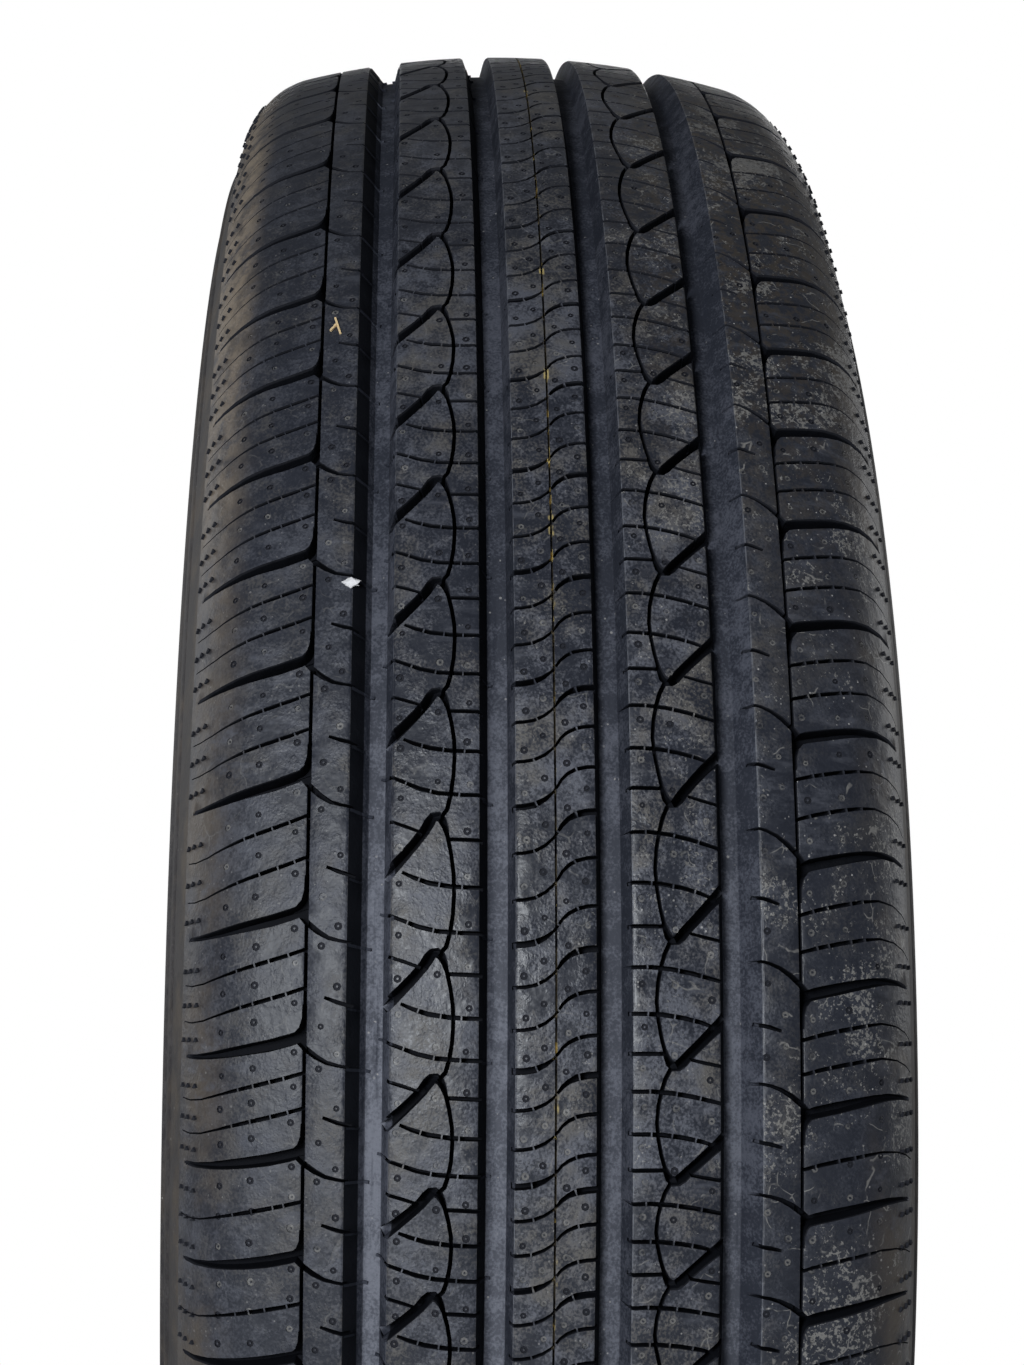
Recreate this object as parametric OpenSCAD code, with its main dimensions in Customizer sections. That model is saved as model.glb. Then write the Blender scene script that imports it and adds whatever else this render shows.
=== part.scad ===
// Car tyre, 155/80 R13, part worn, standing on its tread.
// Millimetres, +Z up, spin axis along +Y, origin at the wheel centre.

/* [Size] */
// Overall diameter over the crown of the tread
outer_d = 572; // [540:1:620]
// Section width, sidewall to sidewall
section_w = 157; // [148:1:166]
// Rim diameter at the bead seat, 13 inch
rim_d = 329.4; // [304:0.1:355.6]
// Rim width between the bead heels, 4.5 inch
rim_w = 114.3; // [101.6:0.1:127]

/* [Tread] */
// Width of the tread band between the shoulder breaks, as a share of the section width
tread_share = 0.7134; // [0.68:0.001:0.76]
// Radius of the crown across the tread
crown_r = 230; // [180:5:400]
// Depth left in the main grooves
tread_depth = 5.2; // [3:0.1:8]
// Place of the inner grooves, as a share of half the tread band
groove_in_at = 0.198; // [0.16:0.001:0.23]
// Place of the outer grooves, as a share of half the tread band
groove_out_at = 0.632; // [0.59:0.001:0.67]
// Width of an inner groove at the surface
groove_in_w = 6.9; // [4:0.1:9]
// Width of an outer groove at the surface
groove_out_w = 8.2; // [5:0.1:10]
// How far each wall of an inner groove leans in on its way down
lean_in = 1.5; // [0:0.1:2.5]
// How far the wall of an outer groove on the side of the centre leans in
lean_out_near = 2; // [0:0.1:3]
// How far the wall of an outer groove on the side of the shoulder leans in
lean_out_far = 3; // [0:0.1:4]
// Place of the thin groove in each shoulder rib, as a share of half the tread band
thin_at = 0.843; // [0.8:0.001:0.89]
// Width of the thin ring grooves
thin_w = 0.9; // [0.6:0.1:2]
// Depth of the thin ring groove in each shoulder rib
thin_d = 4.2; // [2:0.1:5]
// Depth of the thin ring groove on the centre line
centre_d = 3; // [1.5:0.1:4]
// Width of the cross grooves over the shoulders
cross_w = 1.9; // [1:0.1:3]
// Depth of the cross grooves where they leave the thin groove
cross_d = 4.4; // [2.5:0.1:5]
// How far the cross grooves run past the shoulder break
cross_run = 12; // [8:0.5:14]
// Slant of the cross grooves, in degrees
cross_slant = 13; // [0:1:25]
// Depth of the curved notches in ribs 2 and 4
notch_d = 4.2; // [2.5:0.1:5]
// Width of a notch where it opens into the outer groove
notch_w = 1.7; // [1:0.1:2.5]
// Width of the arc from a notch, at its far end
arc_w = 0.9; // [0.6:0.1:1.6]
// Depth of the narrow cuts to the outer main grooves
sipe_d = 3.4; // [1.5:0.1:4.5]
// Width of a narrow cut where it leaves the thin groove
sipe_w = 1; // [0.6:0.1:1.5]
// Width of a narrow cut at the outer main groove
sipe_end_w = 0.8; // [0.5:0.1:1.2]

/* [Casing] */
// Thickness under the tread grooves
under_t = 8; // [6:0.5:14]
// Thickness of the sidewall at its widest
wall_t = 7.5; // [5:0.5:12]
// Radius of the shoulder
shoulder_r = 22; // [16:1:30]
// Radius of the lower sidewall
lower_r = 50; // [42:1:60]
// Radius of the liner inside the shoulder
in_sh_r = 24; // [18:1:28]
// Radius of the liner inside the lower sidewall
in_lo_r = 34; // [28:1:40]
// Height of the two low rings on the upper sidewall
ridge_h = 0.6; // [0.3:0.1:1.2]
// Height of the ring that shows whether the bead sits evenly
bead_ridge_h = 1.2; // [0.6:0.1:2]
// Height of the bead face that bears on the rim flange
bead_h = 16; // [12:1:22]
// Width of the bead base
bead_w = 17; // [13:1:22]
// Depth of the flat where the tread bears on the ground
flat_d = 1.5; // [1:0.1:2]

/* [Hidden] */
R = outer_d / 2;
half_w = section_w / 2;
tread_h = section_w * tread_share / 2;
groove_in_x = tread_h * groove_in_at;
groove_out_x = tread_h * groove_out_at;
thin_x = tread_h * thin_at;
seat_r = rim_d / 2;
// Angle from one point of an arc to the next where two arcs meet
step_a = 6;
// How far the cutters stand clear of the tread
clear = 4;

// Five pitch lengths as degrees of the circumference, and the order
// they follow round the tyre so that the tread doesn't hum on one note
pitch_len = [3.9, 4.4, 4.85, 5.45, 6.05];
pitch_seq = "11234333334555432112345543321123445432111234432112354321123455443211543341";
seq = [for (c = pitch_seq) ord(c) - ord("1")];
lens = [for (k = seq) pitch_len[k]];
function sum(v, n, i = 0) = i >= n ? 0 : v[i] + sum(v, n, i + 1);
turn = sum(lens, len(lens));
fit = 360 / turn;
start_a = -12.5;
echo(pitches = len(lens), turn = turn);

// Points on an arc, angles measured from the radial direction outwards
function arc(c, r, a0, a1, n) =
    [for (i = [0:n]) let (a = a0 + (a1 - a0) * i / n) c + r * [sin(a), cos(a)]];
function crown(t) = R - crown_r + sqrt(crown_r * crown_r - t * t);
function mirrored(v) = [for (p = v) [-p[0], p[1]]];
function back(v) = [for (i = [len(v) - 1:-1:0]) v[i]];

// Outer shape: crown, shoulder, upper wall to the widest point, lower wall
edge_a = asin(tread_h / crown_r);
sh_a = 72; // where the shoulder meets the upper wall
sh_c = [tread_h, crown(tread_h)] - shoulder_r * [sin(edge_a), cos(edge_a)];
sh_end = sh_c + shoulder_r * [sin(sh_a), cos(sh_a)];
upper_r = (half_w - sh_end[0]) / (1 - sin(sh_a));
upper_c = sh_end - upper_r * [sin(sh_a), cos(sh_a)];
flange_x = rim_w / 2 + 3.5;
lower_a = acos(1 - (half_w - flange_x) / lower_r);
lower_c = [half_w - lower_r, upper_c[1]];

// Height of the outer surface anywhere over the tread and shoulder
function surf(t) = t <= tread_h ? crown(t)
    : sh_c[1] + sqrt(shoulder_r * shoulder_r - pow(t - sh_c[0], 2));

// A ring groove in the outline: sloping walls and a flat floor
function ring(x, w, wall_in, wall_out, d) = [
    [x - w / 2, crown(x - w / 2)], [x - w / 2 + wall_in, crown(x) - d],
    [x + w / 2 - wall_out, crown(x) - d], [x + w / 2, crown(x + w / 2)]];

// Low rings moulded on the sidewall
function ridge(c, r, a, h, da) = [
    c + r * [sin(a - da), cos(a - da)], c + (r + h) * [sin(a - da / 2), cos(a - da / 2)],
    c + (r + h) * [sin(a + da / 2), cos(a + da / 2)], c + r * [sin(a + da), cos(a + da)]];

outer_half = concat(
    [[thin_w / 2, crown(0) - centre_d], [thin_w / 2, crown(thin_w / 2)]],
    ring(groove_in_x, groove_in_w, lean_in, lean_in, tread_depth),
    [[(groove_in_x + groove_out_x) / 2, crown((groove_in_x + groove_out_x) / 2)]],
    ring(groove_out_x, groove_out_w, lean_out_near, lean_out_far, tread_depth),
    ring(thin_x, thin_w, 0.1, 0.1, thin_d),
    arc(sh_c, shoulder_r, edge_a, sh_a, 4),
    ridge(upper_c, upper_r, sh_a + 4.5, ridge_h, 0.6),
    ridge(upper_c, upper_r, sh_a + 7.5, ridge_h, 0.6),
    arc(upper_c, upper_r, sh_a + 11, 90, 3),
    arc(lower_c, lower_r, 98, 84 + lower_a, 3),
    ridge(lower_c, lower_r, 86 + lower_a, bead_ridge_h, 2.2),
    [[rim_w / 2 + 1.5, seat_r + bead_h], [rim_w / 2, seat_r + bead_h - 4],
     [rim_w / 2, seat_r + 4], [rim_w / 2 - 1.2, seat_r + 1.2], [rim_w / 2 - 4, seat_r],
     [rim_w / 2 - bead_w + 6, seat_r - 1.2], [rim_w / 2 - bead_w, seat_r - 1.2]]);

// Inner shape, from the toe of the bead up to the crown
in_top = R - tread_depth - under_t;
in_r = crown_r - tread_depth - under_t;
in_a = asin((tread_h - 8) / in_r);
in_c = [0, in_top - in_r];
in_sh_c = in_c + (in_r - in_sh_r) * [sin(in_a), cos(in_a)];
in_sh_a = 66; // where the liner leaves the shoulder
in_end = in_sh_c + in_sh_r * [sin(in_sh_a), cos(in_sh_a)];
in_up_r = (half_w - wall_t - in_end[0]) / (1 - sin(in_sh_a));
in_up_c = in_end - in_up_r * [sin(in_sh_a), cos(in_sh_a)];
in_lo_c = [half_w - wall_t - in_lo_r, in_up_c[1]];

inner_half = concat(
    arc(in_c, in_r, 0, in_a, 4),
    arc(in_sh_c, in_sh_r, in_a + step_a, in_sh_a, 5),
    arc(in_up_c, in_up_r, in_sh_a + step_a, 90, 3),
    arc(in_lo_c, in_lo_r, 100, 140, 3),
    [[rim_w / 2 - bead_w + 2.5, seat_r + bead_h + 2],
     [rim_w / 2 - bead_w, seat_r + 2.5]]);

// The whole cross section turned about the spin axis: the right half
// outside and in, then the left half mirrored
module casing() {
    right = concat(outer_half, back(inner_half));
    left = mirrored(concat([for (i = [1:len(inner_half) - 1]) inner_half[i]], back(outer_half)));
    rotate_extrude() polygon([for (p = concat(right, left)) [p[1], p[0]]]);
}

// Moves a cut to pitch angle a and distance t from the centre line, with
// x across the tread, y along it and z out of the surface
module at(a, t) {
    rotate([0, 0, -a]) rotate([180, 0, 0]) rotate([0, 90, 0])
        translate([t, 0, crown(t)]) rotate([0, asin(t / crown_r), 0]) children();
}

// Distance from the centre line in ribs 2 and 4, from 0 at the inner
// groove to 1 at the outer one, and in the shoulder ribs, from 0 at the
// outer groove to 1 at the thin one
function mid(u) = groove_in_x + u * (groove_out_x - groove_in_x);
function edge(u) = groove_out_x + u * (thin_x - groove_out_x);

// Outline of a cut that follows points [t, s] with a width at each end
function side(v, i, h) = let (a = v[max(i - 1, 0)], b = v[min(i + 1, len(v) - 1)],
    d = b - a, n = [-d[1], d[0]] / norm(d)) v[i] + h * n;
function strip(v, w0, w1) = let (m = len(v) - 1) concat(
    [for (i = [0:m]) side(v, i, (w0 + (w1 - w0) * i / m) / 2)],
    [for (i = [m:-1:0]) side(v, i, -(w0 + (w1 - w0) * i / m) / 2)]);

// Points in tread coordinates [t, fraction of the pitch] to local ones.
// p holds the lengths of the pitch before, this one and the one after, and
// a fraction below 0 or above 1 goes into those, so that cuts always meet
function along(u, p) = u < 0 ? u * p[0] : u > 1 ? p[1] + (u - 1) * p[2] : u * p[1];
function local(v, tc, p) = [for (q = v) [q[0] - tc, along(q[1], p)]];

module cut(v, tc, p, w0, w1, d) {
    translate([0, 0, -d]) linear_extrude(d + clear) polygon(strip(local(v, tc, p), w0, w1));
}

// A groove over the shoulder from x0 to x1: its floor follows the shoulder
// and rises to nothing at the outer end
module over(a, side) {
    n = 3;
    x0 = thin_x;
    x1 = tread_h + cross_run;
    floor_pts = [for (i = [0:n]) let (x = x0 + (x1 - x0) * i / n)
        [x - x0, surf(x) - cross_d * (1 - pow(i / n, 2)) + 0.3 * i / n]];
    rotate([0, 0, -a]) rotate([180, 0, 0]) rotate([0, 90, 0])
        translate([side * x0, 0, 0]) rotate([0, 0, side > 0 ? cross_slant : 180 + cross_slant])
        rotate([90, 0, 0]) linear_extrude(cross_w, center = true)
            polygon(concat(floor_pts, [[x1 - x0 + clear, surf(x1) + 3], [x1 - x0 + clear, R + clear], [0, R + clear]]));
}

// The cuts of pitch i: on each side a groove over the shoulder, a narrow
// cut from it to the outer groove, and a notch that hooks back along the rib
module pitch(i) {
    n = len(lens);
    a = start_a + fit * sum(lens, i);
    pa = fit * lens[i];
    p = fit * PI / 180 * R * [lens[(i + n - 1) % n], lens[i], lens[(i + 1) % n]];
    mid_t = mid(0.49);
    edge_t = edge(0.64);
    over(a, -1);
    at(a, -edge_t) cut([[-edge(1.14), 0], [-edge(0.73), -0.185], [-edge(0.19), -0.26]],
        -edge_t, p, sipe_w, sipe_end_w, sipe_d);
    at(a, -mid_t) cut([[-mid(0.9), 0.24], [-mid(0.615), 0.51], [-mid(0.48), 0.685],
        [-mid(0.395), 0.55], [-mid(0.34), 0.12], [-mid(0.365), -0.17], [-mid(0.45), -0.335]],
        -mid_t, p, notch_w, arc_w, notch_d);
    at(a, mid_t) cut([[mid(0.9), 1.19], [mid(0.615), 0.92], [mid(0.475), 0.765],
        [mid(0.385), 0.9], [mid(0.33), 1.3], [mid(0.36), 1.58], [mid(0.445), 1.765]],
        mid_t, p, notch_w, arc_w, notch_d);
    over(a + 0.36 * pa, 1);
    at(a, edge_t) cut([[edge(1.14), 0.36], [edge(0.73), 0.55], [edge(0.19), 0.62]],
        edge_t, p, sipe_w, sipe_end_w, sipe_d);
}

module tyre() {
    color([0.16, 0.165, 0.18]) rotate([-90, 0, 0]) difference() {
        casing();
        for (i = [0:len(lens) - 1]) pitch(i);
        // the flat it stands on
        translate([-60, R - flat_d, -60]) cube([120, 20, 120]);
    }
}

tyre();
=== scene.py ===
# %% [markdown]
# # A used car tyre
#
# A tyre is one moulding, so everything you see is the same black rubber. What
# makes it look real is its tread: hundreds of cuts that follow one pattern but
# never quite repeat, dust on the ribs, and deep shade in the grooves. We build
# the tread flat, as a designer draws it, roll it onto the casing, and then give
# the rubber its dust and dirt.
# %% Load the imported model
import math
import random

import bmesh
import bpy
from mathutils import Matrix, Vector
from mathutils.geometry import delaunay_2d_cdt


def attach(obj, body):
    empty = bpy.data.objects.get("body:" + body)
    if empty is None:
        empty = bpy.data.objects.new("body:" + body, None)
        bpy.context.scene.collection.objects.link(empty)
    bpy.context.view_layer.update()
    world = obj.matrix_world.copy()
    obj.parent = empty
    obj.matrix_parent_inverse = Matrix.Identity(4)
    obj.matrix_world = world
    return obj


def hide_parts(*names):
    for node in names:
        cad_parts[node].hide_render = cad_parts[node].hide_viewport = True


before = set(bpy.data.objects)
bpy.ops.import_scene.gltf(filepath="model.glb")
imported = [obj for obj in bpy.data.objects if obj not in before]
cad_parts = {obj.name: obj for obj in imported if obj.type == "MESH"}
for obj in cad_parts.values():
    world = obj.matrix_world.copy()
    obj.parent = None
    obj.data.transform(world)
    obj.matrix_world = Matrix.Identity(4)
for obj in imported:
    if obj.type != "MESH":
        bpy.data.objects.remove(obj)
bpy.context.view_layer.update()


def add_object(name, data):
    """An object with its data, linked to the scene."""
    made = bpy.data.objects.new(name, data)
    bpy.context.scene.collection.objects.link(made)
    return made


# %% [markdown]
# ## The sizes
#
# The casing is a 155/80 R13: 572 mm across with part of its tread worn away,
# and 157 mm wide. The crown is one large arc across the tread, each shoulder is
# a small one, and the upper and lower sidewall are one arc each. We work in
# millimetres while drawing, and change to metres once, when points become
# vertices.
# %% Sizes of the casing, in millimetres
MM = 0.001
tyre_radius = 285.9
section_half = 78.5
crown_radius = 230.0
tread_half = 56.0
shoulder_radius = 22.0
shoulder_end = math.radians(72)
lower_radius = 50.0
rim_half = 57.15
seat_radius = 164.7
bead_height = 16.0
bead_width = 17.0
groove_depth = 5.2
under_tread = 8.0
wall_thickness = 7.5
ground_flat = 1.4

edge_angle = math.asin(tread_half / crown_radius)


def crown_height(t):
    """Radius of the tread surface at a distance t from the centre line."""
    return tyre_radius - crown_radius + math.sqrt(crown_radius ** 2 - t ** 2)


def along(centre, radius, angle):
    """A point on an arc; the angle is measured outwards from straight up."""
    return (centre[0] + radius * math.sin(angle), centre[1] + radius * math.cos(angle))


shoulder_centre = (tread_half - shoulder_radius * math.sin(edge_angle),
                   crown_height(tread_half) - shoulder_radius * math.cos(edge_angle))
shoulder_tip = along(shoulder_centre, shoulder_radius, shoulder_end)
upper_radius = (section_half - shoulder_tip[0]) / (1 - math.sin(shoulder_end))
upper_centre = along(shoulder_tip, -upper_radius, shoulder_end)
flange_half = rim_half + 3.5
lower_sweep = math.acos(1 - (section_half - flange_half) / lower_radius)
lower_centre = (section_half - lower_radius, upper_centre[1])
shoulder_reach = tread_half + shoulder_radius * (shoulder_end - edge_angle)
print("the tread sheet runs", round(shoulder_reach, 1), "mm each way from the centre line")

# %% [markdown]
# ## Rolling a flat drawing onto the tyre
#
# The tread is drawn on a flat sheet. `w` is the distance across from the centre
# line, following the surface round the shoulder, and the angle says how far
# round the tyre a point is. Depth is measured straight down into the rubber, so
# a cut over the shoulder leans with it, as the moulding does.
# %% From the flat sheet to the tyre
def on_sheet(w, depth):
    """Distance from the centre line and radius of a point on the rolled sheet."""
    side = math.copysign(1, w)
    reach = abs(w)
    if reach <= tread_half:
        angle = math.asin(reach / crown_radius)
        top = (reach, crown_height(reach))
    else:
        angle = edge_angle + (reach - tread_half) / shoulder_radius
        top = along(shoulder_centre, shoulder_radius, angle)
    return (side * (top[0] - depth * math.sin(angle)), top[1] - depth * math.cos(angle))


def to_tyre(t, radius, angle):
    """A point of the wheel in metres: spin axis along Y, angle 0 towards +X."""
    height = radius * math.sin(angle)
    flat_height = -(tyre_radius - ground_flat)
    return Vector((radius * math.cos(angle), t, max(height, flat_height))) * MM


# %% [markdown]
# ## The order of the pitches
#
# If every block of the tread were as long as the next, the tyre would sing one
# note on the road. The mould maker uses five block lengths and mixes their
# order. The run that faces us in the photograph is 1 1 2 3 4 3 3 3 3 3 4 5 5 5;
# the rest is mixed from the same five.
# %% Pitch lengths and where each pitch starts
pitch_degrees = {"1": 3.9, "2": 4.4, "3": 4.85, "4": 5.45, "5": 6.05}
pitch_order = ("11234333334555" "432112345543321123445432111234"
               "432112354321123455443211543341")
first_pitch = math.radians(-12.5)
whole_turn = sum(pitch_degrees[kind] for kind in pitch_order)

pitches = []
angle = first_pitch
for kind in pitch_order:
    turn = 2 * math.pi * pitch_degrees[kind] / whole_turn
    pitches.append((angle, turn, kind))
    angle += turn
print(len(pitches), "pitches, total before fitting", round(whole_turn, 2), "degrees")

# %% [markdown]
# ## Drawing one pitch
#
# Each cut is a line with a width: a list of points, where a point gives the
# distance across in millimetres, the fraction of the pitch along, and the width
# of the cut there. The same list serves a short and a long pitch, because the
# fraction stretches with it. The two halves of the tread are each other turned
# through half a turn, with a small offset, so each side has its own list.
# %% The cuts of a pitch
thin_groove = 47.0
notch_head_depth, notch_depth, notch_head = 1.6, 4.6, 23.3


def fading(w, depth, length):
    """Depth of a cut over the shoulder: full at the thin ring groove, then less."""
    run = max((abs(w) - thin_groove) / length, 0.0)
    return depth * max(0.0, 1 - run ** 2) + 0.05


def notch(w):
    """Depth of a notch: deep from the main groove inwards, shallow round its head."""
    return notch_head_depth + (notch_depth - notch_head_depth) * min(max(abs(w) - notch_head, 0.0), 1.0)


def fin(w):
    """Depth of a thin line of rubber that runs down a groove wall where a cut meets it."""
    return max(0.3, ring_depth(w) - 0.6)


DEPTHS = {
    "cross": lambda w: fading(w, 4.6, 29),
    "elbow": lambda w: 4.2,
    "junction": lambda w: 3.4,
    "sipe": lambda w: 3.2,
    "shoulder sipe": lambda w: fading(w, 3.2, 31),
    "bridge": lambda w: 0.15,
    "notch": notch,
    "arc": lambda w: 4.2,
    "open vent": lambda w: 0.36,
    "filled vent": lambda w: 0.3,
    "fin": fin,
    "dash": lambda w: -0.5,
}
# Cuts whose walls slope, and how far in millimetres each wall leans
SLOPES = {"notch": 0.5, "cross": 0.35}

# (kind of cut, [(across in mm, fraction of the pitch, width in mm), ...])
LEFT_CUTS = [
    ("cross", [(-47.1, 0.03, 2.2), (-50, -0.012, 2.4), (-54, -0.062, 2.4), (-58.2, -0.098, 2.2),
               (-62.5, -0.13, 1.9), (-66.2, -0.155, 1.5), (-70.6, -0.172, 1.1), (-75, -0.17, 0.8)]),
    ("junction", [(-48.8, 0.0, 1.0), (-47, -0.085, 1.2), (-45, -0.155, 1.1), (-43, -0.205, 0.85),
                  (-41, -0.228, 0.7), (-38.9, -0.245, 0.6)]),
    ("fin", [(-39.3, -0.262, 0.6), (-35.6, -0.285, 0.6)]),
    ("sipe", [(-43.6, 0.325, 0.5), (-41, 0.285, 0.7), (-38.4, 0.255, 0.6)]),
    ("fin", [(-39.2, 0.235, 0.45), (-37.4, 0.22, 0.45)]),
]
LEFT_SHOULDER_SIPE = [(-47.0, 0.0, 0.75), (-51, -0.055, 0.85), (-55.5, -0.11, 0.9), (-60.3, -0.165, 0.75),
                      (-64.5, -0.215, 0.5), (-69, -0.265, 0.35), (-73, -0.28, 0.3), (-76.5, -0.265, 0.25)]
LEFT_MIDDLE_CUTS = [
    ("notch", [(-32.8, 0.235, 2.7), (-31, 0.3, 2.4), (-29, 0.382, 2.2), (-26.8, 0.478, 2.1),
               (-25, 0.565, 2.1), (-24, 0.63, 2.2), (-23.2, 0.665, 2.2), (-22.4, 0.672, 2.0),
               (-21.6, 0.645, 1.7), (-21.0, 0.59, 1.3), (-20.6, 0.53, 0.9)]),
    ("arc", [(-22.1, 0.67, 1.0), (-21.4, 0.64, 0.9), (-20.6, 0.53, 0.85), (-19.9, 0.4, 0.8),
             (-19.4, 0.26, 0.8), (-19.3, 0.12, 0.8), (-19.5, -0.03, 0.8), (-20.0, -0.17, 0.85),
             (-20.7, -0.28, 0.9), (-21.8, -0.335, 0.9)]),
    ("sipe", [(-29.2, 0.275, 0.5), (-27, 0.235, 0.7), (-24, 0.195, 0.8), (-20, 0.17, 0.75),
              (-17, 0.163, 0.7), (-13.9, 0.16, 0.65)]),
    ("sipe", [(-31.8, 0.645, 0.55), (-28.5, 0.60, 0.6), (-25.8, 0.56, 0.5)]),
    ("sipe", [(-20.2, 0.505, 0.65), (-17, 0.5, 0.7), (-13.9, 0.493, 0.65)]),
    ("sipe", [(-32.6, 0.985, 0.55), (-29, 0.925, 0.65), (-26, 0.875, 0.75), (-22.5, 0.84, 0.75),
              (-18, 0.825, 0.7), (-13.5, 0.82, 0.65)]),
    ("fin", [(-34.0, 1.0, 0.5), (-31.9, 0.975, 0.5)]),
    ("fin", [(-14.0, 0.795, 0.5), (-12.2, 0.795, 0.5)]),
]
CENTRE_SIPE = [(-8.3, 0.0, 0.6), (-6, 0.005, 0.6), (-4, 0.02, 0.6), (-2, 0.06, 0.55), (-0.5, 0.11, 0.45),
               (0.4, 0.155, 0.45), (1.2, 0.205, 0.5), (2.4, 0.25, 0.6), (4, 0.285, 0.65),
               (6, 0.303, 0.65), (8.3, 0.31, 0.6)]
RIGHT_MIDDLE_CUTS = [
    ("notch", [(32.8, 1.195, 2.7), (31, 1.12, 2.4), (29, 1.042, 2.2), (26.8, 0.948, 2.1),
               (25, 0.87, 2.1), (23.9, 0.815, 2.2), (23, 0.785, 2.2), (22.2, 0.78, 2.0),
               (21.4, 0.81, 1.7), (20.9, 0.86, 1.3), (20.5, 0.92, 0.9)]),
    ("arc", [(22.0, 0.785, 1.0), (21.3, 0.82, 0.9), (20.6, 0.9, 0.85), (19.9, 1.02, 0.8),
             (19.3, 1.16, 0.8), (19.0, 1.3, 0.8), (19.3, 1.45, 0.8), (19.9, 1.57, 0.85),
             (20.6, 1.67, 0.9), (21.7, 1.765, 0.9)]),
    ("sipe", [(13.9, 0.205, 0.65), (17, 0.205, 0.7), (20, 0.2, 0.75), (24, 0.175, 0.75),
              (27.5, 0.14, 0.7), (30.2, 0.1, 0.5)]),
    ("sipe", [(12.9, 0.56, 0.5), (14.5, 0.565, 0.65), (18, 0.568, 0.7), (22, 0.552, 0.75), (26, 0.52, 0.75),
              (32.4, 0.45, 0.6)]),
    ("sipe", [(13.9, 0.885, 0.65), (17, 0.887, 0.7), (20.4, 0.887, 0.65)]),
    ("sipe", [(25.6, 0.835, 0.5), (28.5, 0.805, 0.6), (31.8, 0.775, 0.55)]),
]
RIGHT_CUTS = [
    ("cross", [(47.1, 0.335, 2.2), (50, 0.375, 2.4), (54, 0.41, 2.4), (58.2, 0.445, 2.2),
               (62.5, 0.475, 1.9), (66.2, 0.49, 1.5), (70.6, 0.48, 1.1), (75, 0.45, 0.8)]),
    ("junction", [(48.8, 0.36, 1.0), (47, 0.445, 1.2), (45, 0.52, 1.1), (43, 0.575, 0.85),
                  (41, 0.61, 0.7), (39.4, 0.625, 0.65), (37.6, 0.62, 0.6), (35.6, 0.595, 0.5)]),
    ("sipe", [(43.2, 0.075, 0.5), (41, 0.105, 0.7), (38.2, 0.13, 0.6)]),
]
RIGHT_SHOULDER_SIPE = [(47.0, 0.0, 0.75), (51, 0.045, 0.85), (55.5, 0.085, 0.9), (60.3, 0.12, 0.75),
                       (64.5, 0.14, 0.5), (69, 0.12, 0.35), (73, 0.07, 0.3), (76.5, 0.0, 0.25)]
ALL_SIDES = LEFT_CUTS + LEFT_MIDDLE_CUTS + RIGHT_MIDDLE_CUTS + RIGHT_CUTS
print("cuts drawn once in a pitch:", len(ALL_SIDES))

# %% [markdown]
# ## The marks of the mould
#
# Air leaves the mould through small plugs, and each leaves a little ring on the
# block. Groups of three short dashes stand in a row at the outer edge of each
# shoulder. Both sit between the cuts, so they too follow the pitch.
# %% Vent rings and shoulder dashes of a pitch
# Distance across in mm, and the fractions of the pitch where a vent was
VENTS = {
    -63.8: (0.05, 0.36, 0.66), -57: (0.12, 0.43, 0.73), -49.4: (0.28, 0.59, 0.88), -44.5: (0.74,),
    -44.3: (0.1,), -41.2: (0.4, -0.12), -29.7: (0.2, 0.46, 0.81), -22.4: (0.5,), -22.2: (0.93,),
    -16.6: (0.24, 0.56, 0.9), -5.8: (0.17, 0.5, 0.84), -2.2: (0.28, 0.61, 0.94),
    2.1: (0.06, 0.4, 0.73), 5.8: (0.2, 0.54, 0.88), 16.5: (0.1, 0.44, 0.77), 22.5: (0.87,),
    22.4: (0.42,), 29.4: (0.32, 0.67), 29.6: (0.91,), 40.4: (0.46, 0.86), 44.2: (0.2, 0.95),
    49.4: (0.55, 0.86, 0.16), 56.5: (0.24, 0.57, 0.9), 64: (0.3, 0.62, 0.97)}
DASH_ROWS = [70.9, 73.5, 76.1]
DASHES = {-1: [-0.02, 0.27, 0.56], 1: [0.32, 0.63, 0.97]}
vent_radius = 0.72
vent_core = 0.2
filled_left, filled_right = 0.25, 0.7
DASH = ((-0.65, -0.45), (0.65, -0.25), (0.1, 0.55))
sipe_boldness = 1.25


def ring_points(w, s, radius, count=8):
    """A small regular outline round a point of the sheet."""
    return [(w + radius * math.cos(2 * math.pi * k / count), s + radius * math.sin(2 * math.pi * k / count))
            for k in range(count)]


def strip_outline(points):
    """The outline of a cut: each point has its own width."""
    left, right = [], []
    last = len(points) - 1
    for i, (w, s, width) in enumerate(points):
        before, after = points[max(i - 1, 0)], points[min(i + 1, last)]
        dw, ds = after[0] - before[0], after[1] - before[1]
        length = math.hypot(dw, ds)
        nw, ns = -ds / length * width / 2, dw / length * width / 2
        left.append((w + nw, s + ns))
        right.append((w - nw, s - ns))
    return right + left[::-1]


def anticlockwise(outline):
    """The outline in the order that delaunay_2d_cdt needs to know its inside."""
    turned = zip(outline, outline[1:] + outline[:1])
    return outline if sum(a[0] * b[1] - b[0] * a[1] for a, b in turned) > 0 else outline[::-1]


def part_of(points, start, end):
    """The stretch of a cut between two fractions of its length, width included."""
    lengths = [0.0]
    for a, b in zip(points, points[1:]):
        lengths.append(lengths[-1] + math.dist(a[:2], b[:2]))
    low, high = start * lengths[-1], end * lengths[-1]

    def at(distance):
        for i in range(len(points) - 1):
            if distance <= lengths[i + 1] or i == len(points) - 2:
                f = (distance - lengths[i]) / (lengths[i + 1] - lengths[i])
                return tuple(p + (q - p) * f for p, q in zip(points[i], points[i + 1]))

    inner = [p for p, d in zip(points, lengths) if low + 0.2 < d < high - 0.2]
    return [at(low)] + inner + [at(high)]


def shifted(points, u):
    """The same cut a little further along the pitch."""
    return [(w, v + u, width) for w, v, width in points]


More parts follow.
